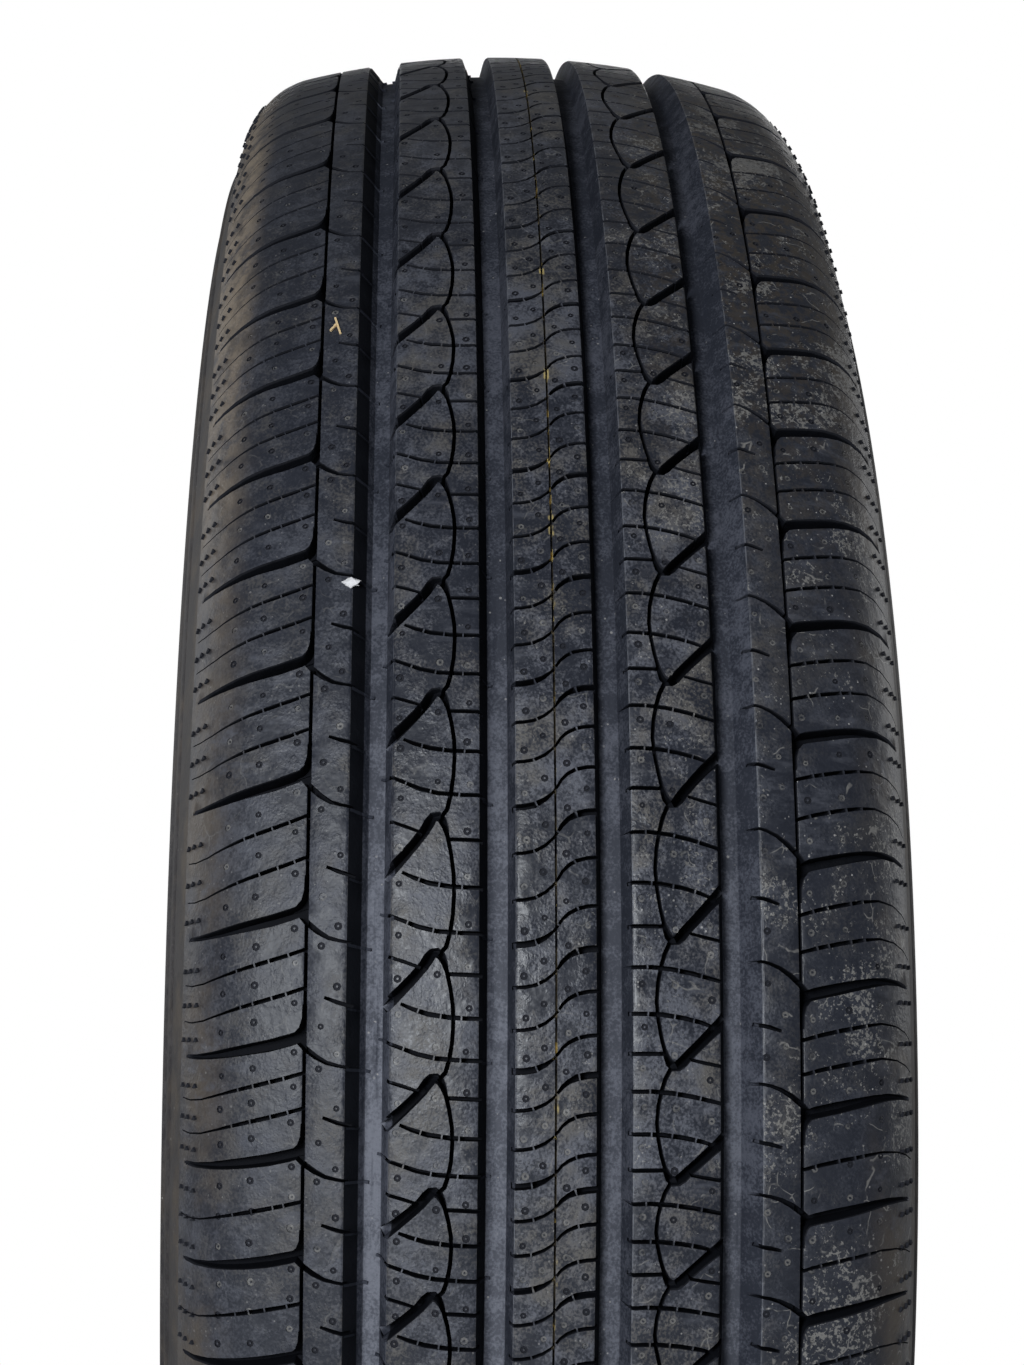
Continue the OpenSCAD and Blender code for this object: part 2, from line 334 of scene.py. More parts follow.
# %% Everything drawn in one pitch
def pitch_drawing(kind, seed):
    """Cuts of one pitch as (type, points), and the random numbers that go on with it."""
    rng = random.Random(seed)
    short = kind == "1"
    cuts = list(ALL_SIDES)
    for u in ([0.55] if short else [0.405, 0.71]):
        cuts.append(("shoulder sipe", shifted(LEFT_SHOULDER_SIPE, u)))
    for u in ([0.86] if short else [0.70, 1.0]):
        cuts.append(("shoulder sipe", shifted(RIGHT_SHOULDER_SIPE, u)))
    for k, u in enumerate((0.07, 0.40, 0.73)):
        points = shifted(CENTRE_SIPE, u)
        if k:  # two of the three S-shaped cuts open up towards one side
            side = 1 if k == 1 else -1
            points = [(w, v, width + (0.45 if side * w > 3 else 0.2 if side * w > 1 else 0))
                      for w, v, width in points]
        cuts.append(("sipe", points))
    return cuts, rng


print("outline points of a notch:", len(strip_outline(LEFT_MIDDLE_CUTS[0][1])))

# %% [markdown]
# ## The grooves that run round
#
# The main grooves, the thin ring groove in each shoulder rib and the fine one on
# the centre line don't change along the tyre, so they are a depth that depends
# only on `w`. A small bevel on each rib edge catches the light.
# %% Depth of the ring grooves
def groove_steps(inner, outer, inner_wall, outer_wall, depth, bevel):
    """Corner points (across, depth) of a groove between two rib edges."""
    return [(inner - bevel, 0.0), (inner, bevel * 0.6), (inner + inner_wall, depth),
            (outer - outer_wall, depth), (outer, bevel * 0.6), (outer + bevel, 0.0)]


half_steps = ([(0.0, 1.1), (0.14, 1.1), (0.22, 0.0)]
              + groove_steps(7.65, 14.55, 1.5, 1.5, groove_depth, 0.4)
              + groove_steps(31.3, 39.5, 2.0, 3.0, groove_depth, 0.4)
              + groove_steps(46.85, 47.55, 0.08, 0.08, 4.2, 0.15))


def ring_depth(w):
    """Depth of the ring grooves at a distance across."""
    reach = abs(w)
    if reach >= half_steps[-1][0]:
        return 0.0
    for (w0, d0), (w1, d1) in zip(half_steps, half_steps[1:]):
        if w0 <= reach <= w1:
            return d0 + (d1 - d0) * (reach - w0) / (w1 - w0)
    return 0.0


piece_edges = (11.1, 34.9)
half_lines = sorted({step[0] for step in half_steps} | set(piece_edges)
                    | {3.8, 20.0, 26.0, 43.0, 52.0, 56.0, 59.5, 63.0, 66.5, 70.0, 74.0, shoulder_reach})
sheet_lines = [-w for w in reversed(half_lines) if w > 0] + half_lines
print(len(sheet_lines), "lines run round the sheet")

# %% [markdown]
# ## Cutting the sheet
#
# `delaunay_2d_cdt` takes points, lines and outlines, cuts them all against each
# other and fills the sheet with triangles. It also says which outlines each
# triangle lies in, and that gives its depth. Where two neighbours differ in
# depth, the edge between them becomes an upright wall. The work goes pitch by
# pitch, and neighbouring pitches meet on the same line.
# %% Cut one pitch into triangles
ELBOW = {
    -1: [(-46.8, -0.03), (-46.8, 0.27), (-47.7, 0.27), (-47.8, 0.16), (-48.3, 0.09), (-49.3, 0.045),
         (-50.8, 0.018), (-50.6, -0.03)],
    1: [(46.8, 0.395), (46.8, 0.09), (47.7, 0.09), (47.8, 0.2), (48.3, 0.27), (49.3, 0.32),
        (50.8, 0.345), (50.6, 0.395)],
}


least_floor = 0.3
bridge_half = 0.14
SHOULDER_TIES, TIES = (0.115, 0.23, 0.345, 0.46), (0.24, 0.5, 0.76)


def outlines_near(index):
    """Outlines that may touch a pitch, as (type, points): across and along in mm from its start."""
    start = pitches[index][0]
    found = []
    for step in (-2, -1, 0, 1):
        other = (index + step) % len(pitches)
        begin, turn, kind = pitches[other]
        gap = begin - start
        gap -= 2 * math.pi * round((gap - step * turn) / (2 * math.pi))
        origin, length = gap * tyre_radius, turn * tyre_radius
        before = pitches[other - 1][1] * tyre_radius
        after = pitches[(other + 1) % len(pitches)][1] * tyre_radius

        def along_at(u):
            """Millimetres along; below 0 and above 1 the neighbouring pitch gives the scale."""
            return origin + (u * before if u < 0 else length + (u - 1) * after if u > 1 else u * length)

        def flat(points):
            return [(p[0], along_at(p[1])) + tuple(p[2:]) for p in points]

        cuts, rng = pitch_drawing(kind, other)
        for name, points in cuts:
            line = flat(points)
            if name == "sipe":
                line = [(w, v, width * sipe_boldness) for w, v, width in line]
            if name in SLOPES:
                found.append((name + " slope", strip_outline(line)))
                floor_line = [(w, v, max(width - 2 * SLOPES[name], least_floor)) for w, v, width in line]
                found.append((name, strip_outline(floor_line)))
            elif name in ("sipe", "shoulder sipe") and len(points) > 4:
                found.append(("bridge", strip_outline(line)))
                ties = SHOULDER_TIES if name == "shoulder sipe" else TIES
                stops = [0.0] + [tie + rng.uniform(-0.03, 0.03) for tie in ties] + [1.0]
                gap_half = bridge_half / max(8.0, math.dist(line[0][:2], line[-1][:2]))
                for a, b in zip(stops, stops[1:]):
                    low = a + (gap_half if a > 0 else 0)
                    high = b - (gap_half if b < 1 else 0)
                    found.append((name, strip_outline(part_of(line, low, high))))
            else:
                found.append((name, strip_outline(line)))
        for side in (-1, 1):
            found.append(("elbow", flat(ELBOW[side])))
        for w, u in ((w, u) for w, fractions in VENTS.items() for u in fractions):
            size = rng.uniform(0.85, 1.15)
            centre = (w + rng.uniform(-0.3, 0.3), along_at(u + rng.uniform(-0.01, 0.01)))
            state = "filled" if rng.random() < (filled_right if w > 10 else filled_left) else "open"
            found.append((state + " vent", ring_points(*centre, vent_radius * size)))
            found.append(("core", ring_points(*centre, vent_core * size)))
        for side, rows in DASHES.items():
            for u in rows:
                s = along_at(u)
                for w in DASH_ROWS:
                    found.append(("dash", [(side * w + dw, s + ds) for dw, ds in DASH]))
    return found


fin_starts = 0.6
least_wall = 0.002


def gap_to(outline, point):
    """Distance from a point to the nearest side of an outline."""
    best = 1e9
    for a, b in zip(outline, outline[1:] + outline[:1]):
        dx, dy = b[0] - a[0], b[1] - a[1]
        f = ((point[0] - a[0]) * dx + (point[1] - a[1]) * dy) / max(dx * dx + dy * dy, 1e-9)
        f = min(max(f, 0.0), 1.0)
        best = min(best, math.hypot(a[0] + f * dx - point[0], a[1] + f * dy - point[1]))
    return best


def cut_pitch(index):
    """Triangles of one pitch: points (across, along), then corners and their depths."""
    start, turn, _ = pitches[index]
    length = turn * tyre_radius
    points, edges, faces, names, shapes = [], [], [], [], []

    def add(w, s):
        points.append(Vector((w, s)))
        return len(points) - 1

    for w in sheet_lines:
        edges.append((add(w, 0.0), add(w, length)))
    for third in range(4):
        s = length * third / 3
        edges.append((add(-shoulder_reach, s), add(shoulder_reach, s)))
    for name, outline in outlines_near(index):
        low, high = min(p[1] for p in outline), max(p[1] for p in outline)
        if (high <= 0 or low >= length) and (not names or names[-1] != name + " slope"):
            continue
        faces.append([add(*p) for p in anticlockwise(outline)])
        names.append(name)
        shapes.append(outline)
    out = delaunay_2d_cdt(points, edges, faces, 0, 1e-5, True)
    verts, triangles, inside = out[0], out[2], out[5]

    def level(owner, point):
        """Depth of one outline's cut at a point; a sloping wall lies between its two outlines."""
        name = names[owner]
        if not name.endswith("slope"):
            return DEPTHS[name](point[0])
        outer, inner = gap_to(shapes[owner], point), gap_to(shapes[owner + 1], point)
        return DEPTHS[name[:-6]](point[0]) * outer / max(outer + inner, 1e-6)

    kept = []
    for corners, owners in zip(triangles, inside):
        middle = sum((verts[c] for c in corners), Vector((0, 0))) / 3
        if not (0 < middle[1] < length and abs(middle[0]) < shoulder_reach):
            continue
        kinds = {names[owner]: owner for owner in owners}
        if "core" in kinds:
            kinds = {name: owner for name, owner in kinds.items() if name != "core" and "vent" not in name}
        ring = ring_depth(middle[0])
        is_fin = "fin" in kinds and ring > fin_starts
        if is_fin:
            depths = [fin(verts[c][0]) for c in corners]
        else:
            kinds.pop("fin", None)
            ranked = max(((level(owner, middle), owner) for owner in kinds.values()), default=(0.0, None))
            if ranked[1] is None or (0 < ranked[0] < ring):
                depths = [ring_depth(verts[c][0]) for c in corners]
            elif ranked[0] < 0:
                depths = [ranked[0]] * 3
            else:
                depths = [max(ring_depth(verts[c][0]), level(ranked[1], verts[c])) for c in corners]
        kept.append((tuple(corners), depths, is_fin))
    return verts, kept


sample = cut_pitch(4)
print("one pitch:", len(sample[1]), "triangles")

# %% [markdown]
# ## From triangles to rubber
#
# Each corner of a triangle now gets its depth and its place on the tyre. A
# corner that lies on the rim of a cut is used twice, once above and once below,
# and the walls are stretched between the two. Each rib is a piece of its own,
# and the ribs meet on the floors of the main grooves.
# %% Build the tread
RIBS = ("shoulder_rib_left", "inner_rib_left", "centre_rib", "inner_rib_right", "shoulder_rib_right")


def rib_of(w):
    """Which rib a point belongs to, from 0 at the left to 4 at the right."""
    return 2 + int(math.copysign(sum(abs(w) > edge for edge in piece_edges), w))


def build_tread():
    """Vertex places and faces of the five ribs."""
    places = [[] for _ in RIBS]
    marks = [[] for _ in RIBS]
    known = [{} for _ in RIBS]
    faces = [[] for _ in RIBS]
    for index, (start, _, _) in enumerate(pitches):
        verts, kept = cut_pitch(index)

        def corner(piece, c, depth, is_fin):
            key = (index, c, round(depth, 3), is_fin)
            if key not in known[piece]:
                w, along = verts[c]
                known[piece][key] = len(places[piece])
                places[piece].append(to_tyre(*on_sheet(w, depth), start + along / tyre_radius))
                marks[piece].append((w, -1.0 if is_fin else depth))
            return known[piece][key]

        beside = {}
        for corners, depths, _ in kept:
            for k in range(3):
                beside[(corners[k - 1], corners[k])] = (depths[k - 1], depths[k])
        for corners, depths, is_fin in kept:
            piece = rib_of(sum(verts[c][0] for c in corners) / 3)
            faces[piece].append([corner(piece, c, depth, is_fin) for c, depth in zip(corners, depths)])
            for k in range(3):
                a, b, here = corners[k - 1], corners[k], (depths[k - 1], depths[k])
                there = beside.get((b, a), here[::-1])[::-1]
                if sum(there) - sum(here) < least_wall:
                    continue
                wall = [corner(piece, b, here[1], is_fin), corner(piece, a, here[0], is_fin),
                        corner(piece, a, there[0], False), corner(piece, b, there[1], False)]
                wall = [v for i, v in enumerate(wall) if v != wall[i - 1]]
                if len(wall) > 2:
                    faces[piece].append(wall)
    return places, faces, marks


def mesh_piece(name, places, faces, marks, crease=38):
    """A piece with smooth faces and sharp edges, welded where pitches meet.

    Each vertex keeps how far across the tyre it is and how deep it lies, both in
    millimetres, because the rubber is dusty on top, and lower down its colour is
    darkened as painted shade.
    """
    mesh = bpy.data.meshes.new(name)
    mesh.from_pydata(places, [], faces)
    for k, mark in enumerate(("across", "depth")):
        values = mesh.attributes.new(mark, "FLOAT", "POINT")
        values.data.foreach_set("value", [pair[k] for pair in marks])
    work = bmesh.new()
    work.from_mesh(mesh)
    bmesh.ops.remove_doubles(work, verts=work.verts, dist=0.004 * MM)
    bmesh.ops.dissolve_degenerate(work, dist=0.001 * MM, edges=work.edges)
    work.to_mesh(mesh)
    work.free()
    mesh.shade_smooth()
    mesh.set_sharp_from_angle(angle=math.radians(crease))
    piece = add_object(name, mesh)
    triangles = sum(len(polygon.vertices) - 2 for polygon in mesh.polygons)
    print(name, triangles, "triangles")
    return piece


tread = [mesh_piece(*parts) for parts in zip(RIBS, *build_tread())]

# %% [markdown]
# ## Sidewalls, beads and the inside
#
# Below the tread nothing depends on the pitch, so the rest of the casing is one
# outline turned about the axle. It starts on the last line of the sheet, goes
# down the sidewall, round the bead, up the inside and back down the other side.
# It turns in the same steps as the sheet, so the two share their seam. Low rings
# run round the wall, as on any tyre, and break up the light on it.
# %% The outline of the casing below the tread
def arc_points(centre, radius, start, end, count):
    return [along(centre, radius, start + (end - start) * i / count) for i in range(count + 1)]


def raised(centre, radius, angle, height, half_width):
    """A low round ring moulded on the sidewall."""
    return [along(centre, radius + height * lift, angle + half_width * offset)
            for offset, lift in ((-1, 0), (-0.5, 0.75), (0, 1), (0.5, 0.75), (1, 0))]


deg = math.radians
outer_side = (
    [shoulder_tip]
    + raised(upper_centre, upper_radius, shoulder_end + deg(4.5), 0.6, deg(0.55))
    + raised(upper_centre, upper_radius, shoulder_end + deg(7.5), 0.6, deg(0.55))
    + arc_points(upper_centre, upper_radius, shoulder_end + deg(9), deg(90), 6)
    + arc_points(lower_centre, lower_radius, deg(95), deg(101), 2)
    + raised(lower_centre, lower_radius, deg(103.5), 0.5, deg(0.8))
    + raised(lower_centre, lower_radius, deg(106.5), 0.5, deg(0.8))
    + arc_points(lower_centre, lower_radius, deg(109), deg(82) + lower_sweep, 5)
    + raised(lower_centre, lower_radius, deg(86) + lower_sweep, 1.2, deg(2.4))
    + [(rim_half + 1.5, seat_radius + bead_height), (rim_half, seat_radius + bead_height - 4),
       (rim_half, seat_radius + 4), (rim_half - 0.4, seat_radius + 2.4), (rim_half - 1.4, seat_radius + 1),
       (rim_half - 4, seat_radius), (rim_half - bead_width + 6, seat_radius - 1.2),
       (rim_half - bead_width, seat_radius - 1.2)])

inner_top = tyre_radius - groove_depth - under_tread
inner_crown = crown_radius - groove_depth - under_tread
inner_edge = math.asin((tread_half - 8) / inner_crown)
inner_shoulder_end = deg(66)
inner_centre = (0, inner_top - inner_crown)
inner_shoulder = 24.0
inner_shoulder_centre = along(inner_centre, inner_crown - inner_shoulder, inner_edge)
inner_end = along(inner_shoulder_centre, inner_shoulder, inner_shoulder_end)
inner_upper = (section_half - wall_thickness - inner_end[0]) / (1 - math.sin(inner_shoulder_end))
inner_upper_centre = along(inner_end, -inner_upper, inner_shoulder_end)
inner_lower = 34.0
inner_lower_centre = (section_half - wall_thickness - inner_lower, inner_upper_centre[1])
inner_side = (
    [(rim_half - bead_width, seat_radius + 2.5), (rim_half - bead_width + 2.5, seat_radius + bead_height + 2)]
    + arc_points(inner_lower_centre, inner_lower, deg(140), deg(96), 7)
    + arc_points(inner_upper_centre, inner_upper, deg(90), deg(71), 4)
    + arc_points(inner_shoulder_centre, inner_shoulder, inner_shoulder_end, inner_edge + deg(6), 7)
    + arc_points(inner_centre, inner_crown, inner_edge, 0.0, 6))
right_side = outer_side + inner_side
left_side = [(-t, r) for t, r in reversed(right_side[:-1])]
casing_outline = right_side + left_side
print(len(casing_outline), "points in the outline of the casing")

# %% Turn the outline about the axle
ring_angles = [start + turn * third / 3 for start, turn, _ in pitches for third in range(3)]


def turned(name, outline, crease=30):
    """The outline turned about the axle in the steps of the sheet."""
    places = [to_tyre(t, r, angle) for angle in ring_angles for t, r in outline]
    marks = [(t, 0.0) for _ in ring_angles for t, _ in outline]
    count, rings = len(outline), len(ring_angles)
    faces = []
    for i in range(rings):
        this, following = i * count, (i + 1) % rings * count
        for k in range(count - 1):
            faces.append((this + k, this + k + 1, following + k + 1, following + k))
    return mesh_piece(name, places, faces, marks, crease)


casing = turned("casing", casing_outline)


# %% [markdown]
# ## The finish of old rubber
#
# New rubber is black. Used rubber is black under a thin grey-blue bloom with
# dust in it, and the dust lies on what is level: the tops of the ribs and the
# floors of the grooves. The steep walls stay dark. Four effects are node groups,
# so that any material can use them: a cloudy layer of dust, sparse pale specks,
# ragged flakes, and streaks left by rubbing.
# %% Helpers for node trees
def feed(tree, socket, value):
    """Link a socket to another one, or give it a plain value."""
    if isinstance(value, bpy.types.NodeSocket):
        tree.links.new(value, socket)
    else:
        socket.default_value = value


def add_node(tree, kind, inputs=None, **settings):
    """A node with its settings, and inputs given as values or as sockets to link."""
    made = tree.nodes.new(kind)
    for name, value in settings.items():
        setattr(made, name, value)
    for name, value in (inputs or {}).items():
        feed(tree, made.inputs[name], value)
    return made


def maths(tree, operation, *values):
    """The result socket of a Math node."""
    made = add_node(tree, "ShaderNodeMath", dict(enumerate(values)), operation=operation)
    return made.outputs[0]


def vectors(tree, operation, *values):
    """A Vector Math node."""
    return add_node(tree, "ShaderNodeVectorMath", dict(enumerate(values)), operation=operation)


def times(tree, product, *values):
    """The product of several values."""
    for value in values:
        product = maths(tree, "MULTIPLY", product, value)
    return product


def plus_share(tree, value, share, start):
    """A start value plus a share of another value."""
    return maths(tree, "MULTIPLY_ADD", value, share, start)


def ramp(tree, value, low, high, to_low=0.0, to_high=1.0):
    """A smooth step from one value to another."""
    made = add_node(tree, "ShaderNodeMapRange", {"Value": value, "From Min": low, "From Max": high,
                                                 "To Min": to_low, "To Max": to_high},
                    interpolation_type="SMOOTHSTEP")
    return made.outputs["Result"]


def blend(tree, factor, first, second):
    """One colour laid over another."""
    made = add_node(tree, "ShaderNodeMix", data_type="RGBA")
    for index, value in ((0, factor), (6, first), (7, second)):
        feed(tree, made.inputs[index], (*value, 1.0) if isinstance(value, tuple) else value)
    return made.outputs[2]


def noise(tree, position, scale, detail=3.0, rough=0.55):
    made = add_node(tree, "ShaderNodeTexNoise", {"Vector": position, "Scale": scale, "Detail": detail,
                                                 "Roughness": rough})
    return made.outputs["Fac"]


def object_place(tree):
    """Where on the object a point lies, in metres."""
    return tree.nodes.new("ShaderNodeTexCoord").outputs["Object"]


def new_group(name, inputs, outputs):
    """A shader group with named float inputs and outputs, and the place to start from."""
    group = bpy.data.node_groups.new(name, "ShaderNodeTree")
    for label, value in inputs.items():
        socket = group.interface.new_socket(label, in_out="INPUT", socket_type="NodeSocketFloat")
        socket.default_value = value
    for label in outputs:
        group.interface.new_socket(label, in_out="OUTPUT", socket_type="NodeSocketFloat")
    given, result = group.nodes.new("NodeGroupInput").outputs, group.nodes.new("NodeGroupOutput").inputs
    return group, object_place(group), given, result


# %% Group: a layer of dust
tree, place, given, result = new_group(
    "Dust layer", {"Amount": 0.9, "Cloud size": 24.0, "Grain size": 1700.0}, ["Mask", "Relief"])
clouds = noise(tree, place, given["Cloud size"], 4.0, 0.6)
patches = noise(tree, place, times(tree, given["Cloud size"], 8.0), 4.0, 0.7)
grain = noise(tree, place, given["Grain size"], 2.0, 0.6)
cover = maths(tree, "ADD", ramp(tree, clouds, 0.35, 0.68, -0.16, 0.2),
              ramp(tree, patches, 0.35, 0.68, -0.16, 0.2))
cover = maths(tree, "ADD", cover, ramp(tree, grain, 0.36, 0.66, 0.08, 0.46))
tree.links.new(times(tree, ramp(tree, cover, 0.0, 0.72), given["Amount"]), result["Mask"])
pebbles = noise(tree, place, times(tree, given["Grain size"], 0.16), 2.0, 0.5)
worn = ramp(tree, patches, 0.4, 0.64, 0.02, 0.13)
ripple = noise(tree, place, times(tree, given["Grain size"], 1.1), 1.0, 0.4)
fine_relief = plus_share(tree, ripple, worn, times(tree, pebbles, 0.3))
tree.links.new(fine_relief, result["Relief"])
dust_group = tree
print("group", dust_group.name, "has", len(dust_group.nodes), "nodes")

# %% Group: sparse pale specks
tree, place, given, result = new_group("Specks", {"Density": 1000.0, "Share": 0.12, "Amount": 0.8}, ["Mask"])
cells = add_node(tree, "ShaderNodeTexVoronoi", {"Vector": place, "Scale": given["Density"], "Randomness": 1.0})
chance = add_node(tree, "ShaderNodeSeparateColor", {"Color": cells.outputs["Color"]})
crowd = ramp(tree, noise(tree, place, 55.0, 3.0, 0.6), 0.4, 0.68, 0.15, 1.6)
chosen = maths(tree, "LESS_THAN", chance.outputs[0], times(tree, given["Share"], crowd))
size = plus_share(tree, chance.outputs[1], 0.24, 0.1)
dot = ramp(tree, maths(tree, "SUBTRACT", size, cells.outputs["Distance"]), 0.0, 0.12)
brightness = plus_share(tree, chance.outputs[2], 0.75, 0.25)
tree.links.new(times(tree, dot, chosen, brightness, given["Amount"]), result["Mask"])
speck_group = tree
print("group", speck_group.name, "has", len(speck_group.nodes), "nodes")

# %% Group: ragged flakes of dry dust
tree, place, given, result = new_group("Flakes", {"Size": 900.0, "Cover": 0.5}, ["Mask"])
ragged = noise(tree, place, given["Size"], 3.0, 0.72)
bunched = ramp(tree, noise(tree, place, 48.0, 4.0, 0.65), 0.38, 0.66)
wanted = times(tree, bunched, given["Cover"], 0.21)
edge_level = maths(tree, "SUBTRACT", 0.73, wanted)
flake = maths(tree, "SUBTRACT", ragged, edge_level)
bent = add_node(tree, "ShaderNodeTexNoise", {"Vector": place, "Scale": 150.0, "Detail": 2.0})
bent = add_node(tree, "ShaderNodeVectorMath", {0: bent.outputs["Color"], "Scale": 0.006}, operation="SCALE")
bent = vectors(tree, "ADD", place, bent.outputs[0])
hairs = add_node(tree, "ShaderNodeTexVoronoi", {"Vector": bent.outputs[0], "Scale": 130.0},
                 feature="DISTANCE_TO_EDGE")
hair = ramp(tree, hairs.outputs["Distance"], 0.008, 0.022, 1.0, 0.0)
hair = times(tree, hair, ramp(tree, noise(tree, place, 170.0, 3.0, 0.6), 0.54, 0.62))
hair = times(tree, hair, times(tree, given["Cover"], 0.8))
tree.links.new(maths(tree, "MAXIMUM", ramp(tree, flake, 0.0, 0.05), hair), result["Mask"])
flake_group = tree
print("group", flake_group.name, "has", len(flake_group.nodes), "nodes")

# %% Group: streaks left by rubbing
tree, place, given, result = new_group("Streaks", {"Along": 60.0, "Across": 900.0, "Amount": 0.5}, ["Mask"])
stretch = add_node(tree, "ShaderNodeCombineXYZ",
                   {"X": given["Along"], "Y": given["Across"], "Z": given["Along"]})
stretched = vectors(tree, "MULTIPLY", place, stretch.outputs[0]).outputs[0]
lines = noise(tree, stretched, 1.0, 3.0, 0.65)
where = ramp(tree, noise(tree, place, 45.0, 2.0, 0.5), 0.42, 0.62)
streak = times(tree, ramp(tree, lines, 0.48, 0.72), where)
tree.links.new(times(tree, streak, given["Amount"]), result["Mask"])
streak_group = tree
print("group", streak_group.name, "has", len(streak_group.nodes), "nodes")

# %% [markdown]
# ## The tread rubber
#
# Depth below the rib surface and distance across were stored on the mesh, so the
# materials can tell a wall from a floor, and the middle from the shoulders. The
# tops of the ribs were rubbed by the road and have a low sheen. The cuts were
# not: they are dull, so they get a rubber of their own. Its colour is painted
# darker with depth as shade in the recesses, and the main-groove walls that face
# right are painted black as shade.
# %% Helpers for the rubber
def group_node(tree, group, **values):
    made = tree.nodes.new("ShaderNodeGroup")
    made.node_tree = group
    for name, value in values.items():
        feed(tree, made.inputs[name.replace("_", " ")], value)
    return made.outputs


def stored(tree, name):
    return add_node(tree, "ShaderNodeAttribute", attribute_name=name).outputs["Fac"]


def new_material(name):
    material = bpy.data.materials.new(name)
    material.use_nodes = True
    tree = material.node_tree
    return material, tree, tree.nodes["Principled BSDF"]


def between(tree, value, low, high, soft):
    """One between two limits, with soft ends."""
    return times(tree, ramp(tree, value, low - soft, low + soft),
                 ramp(tree, value, high - soft, high + soft, 1.0, 0.0))


def bands(tree, value, limits, soft):
    """One inside any of several bands that run round the tyre."""
    total = None
    for low, high in limits:
        band = between(tree, value, low, high, soft)
        total = band if total is None else maths(tree, "ADD", total, band)
    return total


def rubber_marks(tree):
    """Distance across with its sign and without, depth, place, and height above the axle."""
    from_middle, place = stored(tree, "across"), object_place(tree)
    height = add_node(tree, "ShaderNodeSeparateXYZ", {"Vector": place}).outputs["Z"]
    return from_middle, maths(tree, "ABSOLUTE", from_middle), stored(tree, "depth"), place, height


def coats(tree, colour, *layers):
    """A colour under several coats, each a mask and the colour that it lays on."""
    for mask, paint in layers:
        colour = blend(tree, mask, colour, paint)
    return colour


def finish_rubber(tree, skin, colour, roughness, specular, height, strength):
    """Join everything to the shader; the fine relief has its height in millimetres."""
    bump = add_node(tree, "ShaderNodeBump", {"Height": height, "Strength": strength, "Distance": MM})
    for name, value in (("Base Color", colour), ("Roughness", roughness),
                        ("Specular IOR Level", specular), ("Normal", bump.outputs["Normal"])):
        feed(tree, skin.inputs[name], value)
    print("nodes in the material:", len(tree.nodes))


# painted shade: this near-black is laid deep in the cuts and on the main-groove walls that face right
PAINTED_SHADE = (0.006, 0.007, 0.010)
SLIT = (0.022, 0.024, 0.031)
WALL = (0.025, 0.029, 0.041)
BLOOM = (0.0155, 0.0185, 0.0285)
DUST = (0.088, 0.096, 0.121)
BROWN_DUST = (0.096, 0.093, 0.090)
FLOOR_DUST = (0.165, 0.179, 0.218)
WALL_DUST = (0.078, 0.086, 0.112)
# painted highlight: the pale line laid on the rib edges that face the lamp
EDGE = (0.105, 0.115, 0.140)
DIRT = (0.085, 0.070, 0.055)
TAN = (0.26, 0.215, 0.165)
GRIME = (0.056, 0.045, 0.033)
FLAKE = (0.21, 0.21, 0.205)
PALE = (0.42, 0.42, 0.42)
PAINT = (0.60, 0.48, 0.18)
OLD_PAINT = (0.13, 0.11, 0.075)
SIDE = (0.026, 0.026, 0.030)
SIDE_DUST = (0.080, 0.079, 0.083)
SHEEN_TINT = (0.92, 0.96, 1.0, 1.0)

# %% Material of the rib tops
tread_rubber, tree, skin = new_material("tread rubber")
from_middle, across, depth, place, height = rubber_marks(tree)
# More dust near 12 mm right of the centre line, less on both shoulders and least on the right one: dust, and
# also painted light for the lamp's broad sheen on the middle ribs and its falloff towards the right shoulder
from_painted_light_line = maths(tree, "ABSOLUTE", maths(tree, "SUBTRACT", from_middle, 12.0))
rib_dust_and_painted_light = times(tree, ramp(tree, from_painted_light_line, 16.0, 26.0, 1.2, 0.85),
                    ramp(tree, across, 36.0, 48.0, 1.0, 0.6), ramp(tree, from_middle, 33.0, 51.0, 1.0, 0.55))
dust = group_node(tree, dust_group, Amount=rib_dust_and_painted_light)
tint = ramp(tree, noise(tree, place, 75.0, 4.0, 0.6), 0.42, 0.62)
# this dust colour also carries the painted light of the dust amount above
dusty = blend(tree, dust["Mask"], BLOOM, blend(tree, tint, DUST, BROWN_DUST))
# painted highlight: a thin pale line on the left edge of each rib beside a main groove, the edges that face the
# lamp; noise breaks it up
rib_edge_highlight = bands(tree, from_middle, ((-31.5, -31.2), (-7.85, -7.5), (14.4, 14.75), (39.4, 39.7)), 0.06)
rib_edge_highlight = times(tree, rib_edge_highlight, ramp(tree, noise(tree, place, 260.0, 3.0, 0.6), 0.36, 0.6, 0.1, 0.9))
dirty = times(tree, ramp(tree, across, 58.0, 70.0),
              ramp(tree, noise(tree, place, 42.0, 5.0, 0.65), 0.42, 0.66, 0.05, 0.8))
on_left = times(tree, ramp(tree, from_middle, -69.0, -61.0, 1.0, 0.0), ramp(tree, height, 0.04, 0.2))
tan_cover = times(tree, on_left, ramp(tree, noise(tree, place, 150.0, 5.0, 0.7), 0.36, 0.6, 0.15, 0.95))
streaks = group_node(tree, streak_group, Along=420.0, Across=90.0, Amount=0.5)["Mask"]
upper_right = times(tree, ramp(tree, from_middle, 5.0, 40.0), ramp(tree, height, 0.05, 0.2))
grimy = times(tree, upper_right, ramp(tree, noise(tree, place, 380.0, 5.0, 0.7), 0.44, 0.6, 0.0, 0.8))
filled = times(tree, ramp(tree, depth, 0.2, 0.27), ramp(tree, noise(tree, place, 500.0), 0.35, 0.6, 0.1, 0.6))
crowded = maths(tree, "ADD", ramp(tree, from_middle, -30.0, 60.0, 0.3, 1.05), times(tree, upper_right, 0.55))
flakes = group_node(tree, flake_group, Size=1150.0, Cover=crowded)["Mask"]
specks = group_node(tree, speck_group, Density=1150.0, Share=0.2, Amount=0.8)["Mask"]
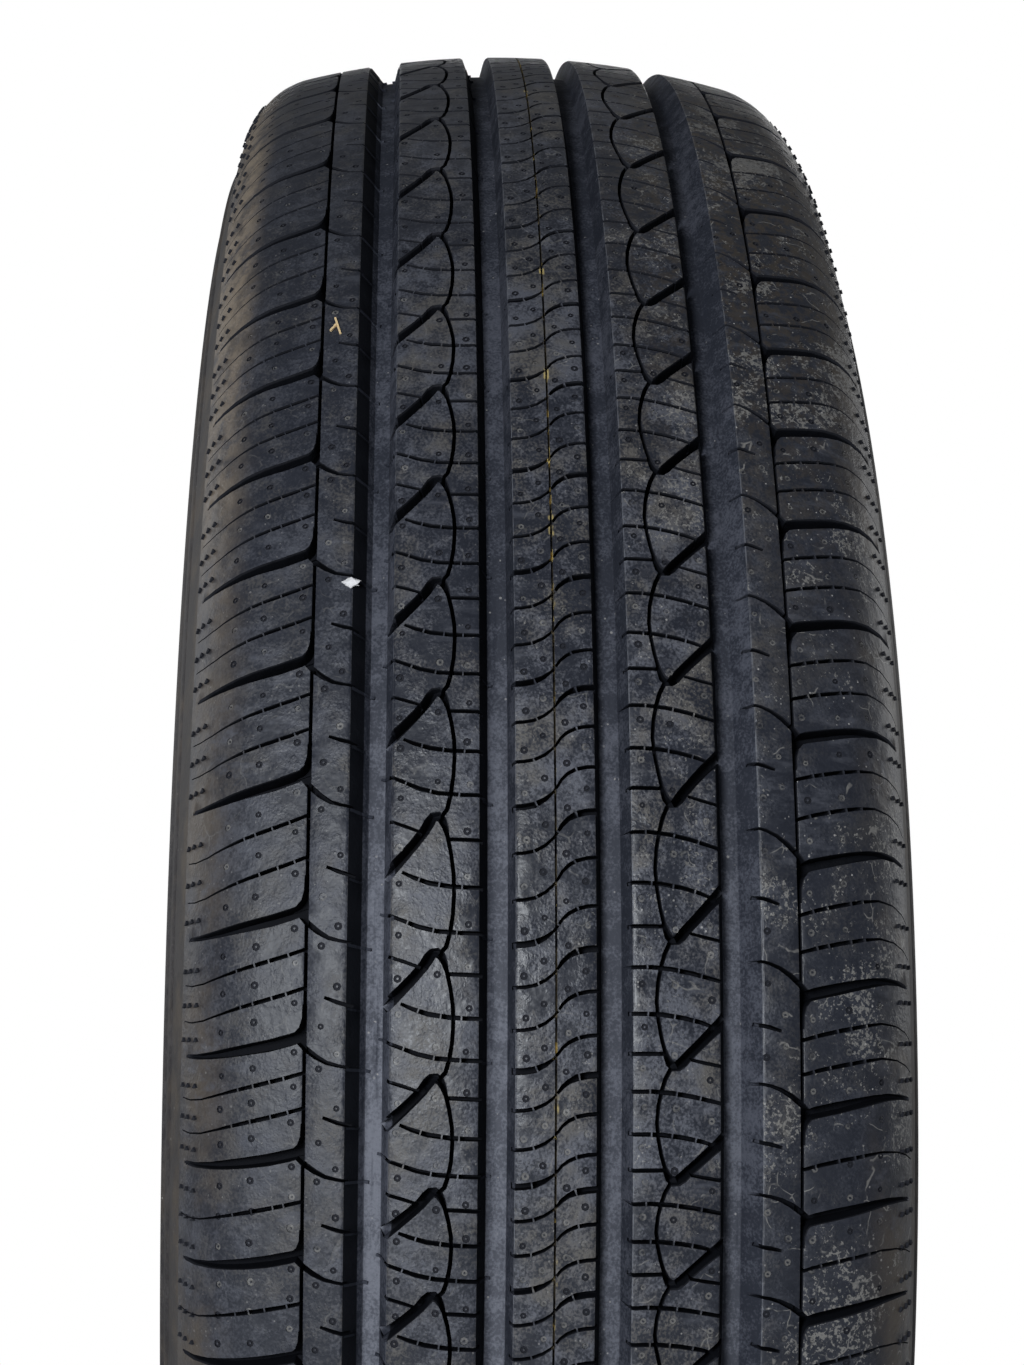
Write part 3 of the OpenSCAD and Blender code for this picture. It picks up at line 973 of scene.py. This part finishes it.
flecks = times(tree, ramp(tree, across, 0.35, 0.7, 1.0, 0.0),
               ramp(tree, noise(tree, place, 75.0, 3.0, 0.7), 0.60, 0.66))
colour = coats(tree, dusty, (rib_edge_highlight, EDGE), (dirty, DIRT), (tan_cover, TAN), (streaks, DUST), (grimy, GRIME),
               (filled, FLAKE), (times(tree, flakes, 0.85), FLAKE), (times(tree, specks, crowded), PALE),
               (times(tree, flecks, 0.7), PAINT))
roughness = plus_share(tree, dust["Mask"], 0.2, ramp(tree, across, 35.0, 43.0, 0.37, 0.45))
skin.inputs["Specular Tint"].default_value = SHEEN_TINT
finish_rubber(tree, skin, colour, roughness, 0.45, dust["Relief"], 1.0)

# %% Material of the grooves and cuts
groove_rubber, tree, skin = new_material("groove rubber")
from_middle, across, depth, place, height = rubber_marks(tree)
in_ring = maths(tree, "MAXIMUM", between(tree, across, 7.5, 14.7, 0.1),
                between(tree, across, 31.1, 39.7, 0.1))
on_floor = times(tree, ramp(tree, depth, groove_depth - 0.5, groove_depth - 0.05), in_ring)
dust = group_node(tree, dust_group, Amount=0.9)
# painted shade: the colour of a cut goes from SLIT near the top to near-black deeper down
slit_with_depth_shade = blend(tree, ramp(tree, depth, 0.4, 0.8), SLIT, PAINTED_SHADE)
walls = blend(tree, in_ring, slit_with_depth_shade, blend(tree, dust["Mask"], WALL, WALL_DUST))
# painted shade: the main-groove walls that face right, away from the lamp, are painted near-black down to the
# floor
right_wall_shade = times(tree, bands(tree, from_middle, ((-40.0, -37.4), (-14.9, -13.1), (7.3, 9.1), (31.0, 33.2)), 0.08),
              ramp(tree, depth, groove_depth - 0.3, groove_depth - 0.02, 1.0, 0.0))
fins = ramp(tree, depth, -0.95, -0.7, 0.5, 0.0)
# painted shadow: on the left part of each main-groove floor, beside the right-facing wall, the pale floor
# colour is thinned
shaded = bands(tree, from_middle, ((-37.6, -36.2), (-13.4, -11.6), (8.9, 10.0), (33.0, 34.4)), 0.8)
rubbed = group_node(tree, streak_group, Along=30.0, Across=750.0, Amount=0.9)["Mask"]
# the floor colour fades higher up and on the right-hand floors: dust, and also painted falloff of the lamp's
# light
low_down = times(tree, ramp(tree, height, -0.01, 0.11, 1.0, 0.08), ramp(tree, from_middle, 0.0, 12.0, 1.0, 0.6))
# the pale floor colour is dust, thinned by the painted shadow and by the fade higher up and to the right
floor_dust_and_painted_light = times(tree, on_floor, plus_share(tree, dust["Mask"], 0.7, 0.45), low_down,
                    plus_share(tree, shaded, -0.6, 1.0), maths(tree, "SUBTRACT", 1.0, rubbed))
specks = times(tree, group_node(tree, speck_group, Amount=0.6)["Mask"], on_floor)
in_line = ramp(tree, across, 0.3, 0.5, 1.0, 0.0)
old_paint = times(tree, in_line, ramp(tree, noise(tree, place, 160.0, 4.0, 0.7), 0.42, 0.6))
flecks = times(tree, in_line, ramp(tree, noise(tree, place, 210.0, 3.0, 0.6), 0.585, 0.62))
colour = coats(tree, walls, (right_wall_shade, PAINTED_SHADE), (fins, WALL), (floor_dust_and_painted_light, FLOOR_DUST), (specks, PALE),
               (old_paint, OLD_PAINT), (flecks, PAINT))
finish_rubber(tree, skin, colour, 0.7, 0.06, dust["Relief"], 0.8)

# %% Material of the sidewalls and the inside
wall_rubber, tree, skin = new_material("sidewall rubber")
place = object_place(tree)
dust = group_node(tree, dust_group, Amount=0.6, Cloud_size=40.0)
flat_place = vectors(tree, "MULTIPLY", place, (1, 0, 1)).outputs[0]
from_axle = vectors(tree, "LENGTH", flat_place).outputs["Value"]
dirty = times(tree, ramp(tree, noise(tree, place, 70.0, 5.0, 0.7), 0.42, 0.66, 0.1, 0.8),
              ramp(tree, from_axle, 0.236, 0.263, 0.25, 1.0))
specks = group_node(tree, speck_group, Share=0.06, Amount=0.6)["Mask"]
colour = coats(tree, blend(tree, dust["Mask"], SIDE, SIDE_DUST), (dirty, DIRT), (specks, PALE))
finish_rubber(tree, skin, colour, plus_share(tree, dust["Mask"], 0.2, 0.5), 0.2, dust["Relief"], 0.5)

# %% Give each piece its rubber and its place in the model
cut_starts = 0.33
for piece in tread:
    piece.data.materials.append(tread_rubber)
    piece.data.materials.append(groove_rubber)
    depths = [entry.value for entry in piece.data.attributes["depth"].data]
    for polygon in piece.data.polygons:
        polygon.material_index = int(max(abs(depths[v]) for v in polygon.vertices) > cut_starts)
casing.data.materials.append(wall_rubber)
for piece in tread + [casing]:
    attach(piece, "root")
    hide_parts("tyre")

# %% [markdown]
# ## What the tyre picked up
#
# A white crumb sticks to the edge of the left shoulder rib, and a forked bit of
# straw lies a little higher on the same rib. Both are real pieces, because their
# small shadows tell the eye that they lie on the rubber.
# %% A crumb and a bit of straw
def plain_material(name, colour, roughness):
    material, _, skin = new_material(name)
    skin.inputs["Base Color"].default_value = (*colour, 1.0)
    skin.inputs["Roughness"].default_value = roughness
    return material


def crumb(name, w, degrees, sizes, seed):
    """A small irregular lump that lies on the sheet."""
    rng = random.Random(seed)
    work = bmesh.new()
    bmesh.ops.create_icosphere(work, subdivisions=2, radius=1.0)
    for vert in work.verts:
        across, along, up = (c * size * rng.uniform(0.6, 1.3) for c, size in zip(vert.co, sizes))
        t, radius = on_sheet(w + across, -0.3 - up)
        vert.co = to_tyre(t, radius, math.radians(degrees) + along / tyre_radius)
    mesh = bpy.data.meshes.new(name)
    work.to_mesh(mesh)
    work.free()
    return add_object(name, mesh)


def stalks(name, lines, half):
    """Thin square stalks along lines of (across in mm, degrees) points."""
    places, faces = [], []
    for (w0, a0), (w1, a1) in lines:
        first = len(places)
        dw, ds = w1 - w0, math.radians(a1 - a0) * tyre_radius
        length = math.hypot(dw, ds)
        nw, ns = -ds / length * half, dw / length * half
        for w, degrees in ((w0, a0), (w1, a1)):
            for turn, lift in ((1, 0.1), (-1, 0.1), (-1, 0.1 + 2 * half), (1, 0.1 + 2 * half)):
                t, radius = on_sheet(w + turn * nw, -lift)
                places.append(to_tyre(t, radius, math.radians(degrees) + turn * ns / tyre_radius))
        a, b = first, first + 4
        faces += [(a, a + 1, b + 1, b), (a + 1, a + 2, b + 2, b + 1), (a + 2, a + 3, b + 3, b + 2),
                  (a + 3, a, b, b + 3), (a + 3, a + 2, a + 1, a), (b, b + 1, b + 2, b + 3)]
    mesh = bpy.data.meshes.new(name)
    mesh.from_pydata(places, [], faces)
    return add_object(name, mesh)


lump = crumb("white_crumb", -39.8, 18.2, (1.7, 1.1, 0.8), 5)
lump.data.materials.append(plain_material("white crumb", (0.72, 0.74, 0.78), 0.8))
straw = stalks("bit_of_straw", [((-44.5, 32.55), (-43.3, 31.5)), ((-44.1, 32.15), (-45.4, 31.75))], 0.21)
straw.data.materials.append(plain_material("dry straw", (0.78, 0.60, 0.34), 0.7))
for piece in (lump, straw):
    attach(piece, "root")
    print(piece.name, len(piece.data.polygons), "faces")

# %% [markdown]
# ## The camera
#
# The rib edges are circles, and the way they bend in the photograph gives the
# camera: 2.6 tyre radii from the axle, a little left of the middle, looking a
# little up and to the right. The lens follows from the same curves.
# %% Camera
camera_distance = 2.617 * tyre_radius * MM
camera_side = -0.109 * tyre_radius * MM
look_right, look_up, roll = -0.0488, 0.1418, 0.0042
focal_pixels, frame_height = 2447.9, 1365

right, up, forward = Vector((0, 1, 0)), Vector((0, 0, 1)), Vector((-1, 0, 0))
right, forward = (right * math.cos(look_right) + forward * math.sin(look_right),
                  forward * math.cos(look_right) - right * math.sin(look_right))
up, forward = (up * math.cos(look_up) - forward * math.sin(look_up),
               forward * math.cos(look_up) + up * math.sin(look_up))
right, up = right * math.cos(roll) + up * math.sin(roll), up * math.cos(roll) - right * math.sin(roll)

camera_data = bpy.data.cameras.new("photograph")
camera = add_object("photograph", camera_data)
bpy.context.scene.camera = camera
camera_data.sensor_fit = "VERTICAL"
camera_data.sensor_height = 36.0
camera_data.lens = focal_pixels / frame_height * camera_data.sensor_height
camera_data.clip_start, camera_data.clip_end = 0.01, 50
camera.matrix_world = Matrix((
    (right.x, up.x, -forward.x, camera_distance), (right.y, up.y, -forward.y, camera_side),
    (right.z, up.z, -forward.z, 0.0), (0, 0, 0, 1)))
print("lens", round(camera_data.lens, 1), "mm")

# %% [markdown]
# ## Floor and light
#
# The photograph has a plain white ground, so the floor and the world are white
# where the camera sees them. Reflections see only a tenth of the world's white,
# because more would lay a grey veil over the rubber. The light is soft and comes
# from the left of the camera: the walls that face left are lit, and those that
# face right are in shade, which the groove rubber also paints black.
# %% Floor, lamps and world
def area_lamp(name, place, target, size, power):
    data = bpy.data.lights.new(name, "AREA")
    data.shape, data.size, data.energy = "SQUARE", size, power
    lamp = add_object(name, data)
    lamp.location = place
    lamp.rotation_euler = (Vector(target) - Vector(place)).to_track_quat("-Z", "Y").to_euler()


area_lamp("window by the camera", (1.22, -0.38, 0.10), (0.28, -0.02, 0.03), 0.24, 8.5)
area_lamp("left", (-0.8, -1.6, 0.5), (-0.05, 0, 0), 1.0, 5.5)
area_lamp("right", (-0.8, 1.6, 0.5), (-0.05, 0, 0), 1.0, 6.0)
area_lamp("behind", (-1.6, 0.2, 0.7), (0, 0, 0), 1.0, 12.0)

world = bpy.data.worlds.new("studio")
world.use_nodes = True
bpy.context.scene.world = world
tree = world.node_tree
sky = tree.nodes["Background"]
sky.inputs["Color"].default_value = (0.93, 0.96, 1.0, 1.0)
sky.inputs["Strength"].default_value = 0.06
ray = tree.nodes.new("ShaderNodeLightPath")
seen = add_node(tree, "ShaderNodeBackground", {"Color": (1, 1, 1, 1), "Strength": 1.0})
shown = maths(tree, "MAXIMUM", ray.outputs["Is Camera Ray"], ray.outputs["Is Transmission Ray"])
shown = maths(tree, "MAXIMUM", shown, times(tree, ray.outputs["Is Glossy Ray"], 0.1))
pick = add_node(tree, "ShaderNodeMixShader", {"Fac": shown})
tree.links.new(sky.outputs[0], pick.inputs[1])
tree.links.new(seen.outputs[0], pick.inputs[2])
tree.links.new(pick.outputs[0], tree.nodes["World Output"].inputs["Surface"])

floor_mesh = bpy.data.meshes.new("floor")
floor_level = -(tyre_radius - ground_flat) * MM
floor_mesh.from_pydata([(x, y, floor_level) for x, y in ((-6, -6), (6, -6), (6, 6), (-6, 6))], [],
                       [(0, 1, 2, 3)])
floor = add_object("floor", floor_mesh)
floor_paint, tree, skin = new_material("floor")
skin.inputs["Base Color"].default_value = (0.75, 0.75, 0.75, 1)
skin.inputs["Roughness"].default_value = 0.9
skin.inputs["Specular IOR Level"].default_value = 0.0
spot = vectors(tree, "LENGTH", object_place(tree)).outputs["Value"]
far = ramp(tree, spot, 0.4, 1.2, 0.4, 1.0)
ray = tree.nodes.new("ShaderNodeLightPath")
glow = add_node(tree, "ShaderNodeEmission", {"Color": (1, 1, 1, 1), "Strength": 1.0})
white = add_node(tree, "ShaderNodeMixShader", {"Fac": times(tree, far, ray.outputs["Is Camera Ray"])})
tree.links.new(skin.outputs[0], white.inputs[1])
tree.links.new(glow.outputs[0], white.inputs[2])
tree.links.new(white.outputs[0], tree.nodes["Material Output"].inputs["Surface"])
floor_mesh.materials.append(floor_paint)

bpy.context.scene.view_settings.view_transform = "Standard"
